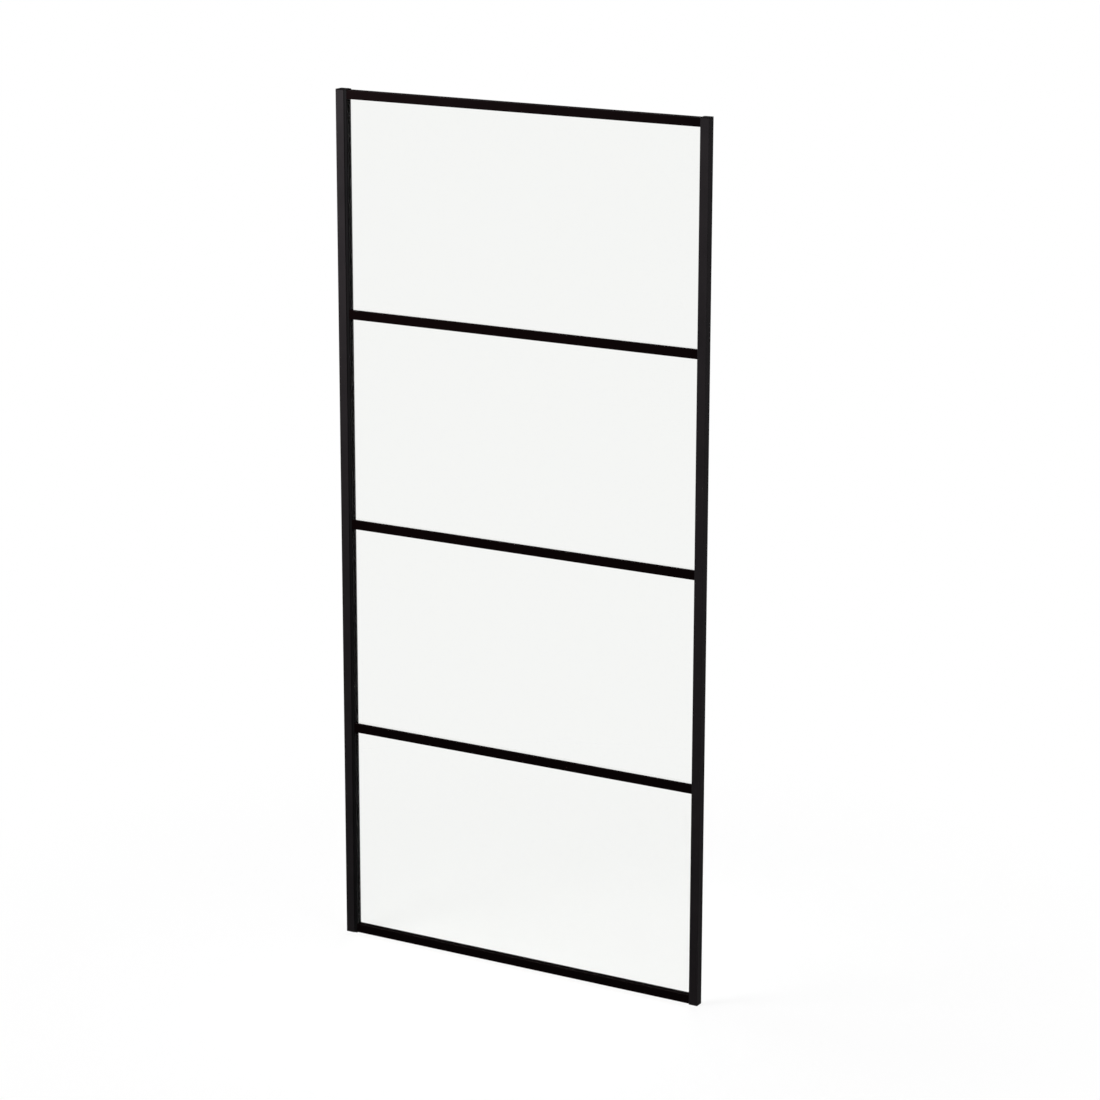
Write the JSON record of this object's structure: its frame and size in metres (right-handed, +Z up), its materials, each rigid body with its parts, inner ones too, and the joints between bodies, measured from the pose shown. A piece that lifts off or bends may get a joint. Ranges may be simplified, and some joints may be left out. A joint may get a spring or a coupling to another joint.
{
  "type": "shower side panel",
  "caption": "Fixed framed shower side panel: clear glass in a slim black frame with flush horizontal glazing bars and a wall channel.",
  "frame": {"origin": "the middle of the wall channel's flat wall face", "axes": "+X from the wall to the free edge, +Y from the front (dry side, with the glazing bars) to the back, +Z up"},
  "size_m": [0.89, 0.0236, 1.9],
  "materials": {
    "black_aluminium": "satin black powder coat on extruded aluminium",
    "black_plastic": "moulded black plastic",
    "black_rubber": "matt black glazing rubber",
    "black_foam_tape": "matt black bonding tape",
    "clear_glass": "clear toughened glass with ground arrises"
  },
  "bodies": {
    "root": {"wall_channel": "black_aluminium", "wall_channel_top_cap": "black_plastic", "wall_stile": "black_aluminium", "wall_stile_top_cap": "black_plastic", "wall_stile_bottom_cap": "black_plastic", "free_stile": "black_aluminium", "free_stile_top_cap": "black_plastic", "free_stile_bottom_cap": "black_plastic", "top_rail": "black_aluminium", "bottom_rail": "black_aluminium", "glass_pane": "clear_glass", "setting_block_wall_side": "black_rubber", "setting_block_free_side": "black_rubber", "front_gasket_wall_side": "black_rubber", "front_gasket_free_side": "black_rubber", "front_gasket_top": "black_rubber", "front_gasket_bottom": "black_rubber", "back_gasket_wall_side": "black_rubber", "back_gasket_free_side": "black_rubber", "back_gasket_top": "black_rubber", "back_gasket_bottom": "black_rubber", "upper_bar": "black_aluminium", "middle_bar": "black_aluminium", "lower_bar": "black_aluminium", "upper_bar_tape": "black_foam_tape", "middle_bar_tape": "black_foam_tape", "lower_bar_tape": "black_foam_tape"}
  },
  "joints": []
}
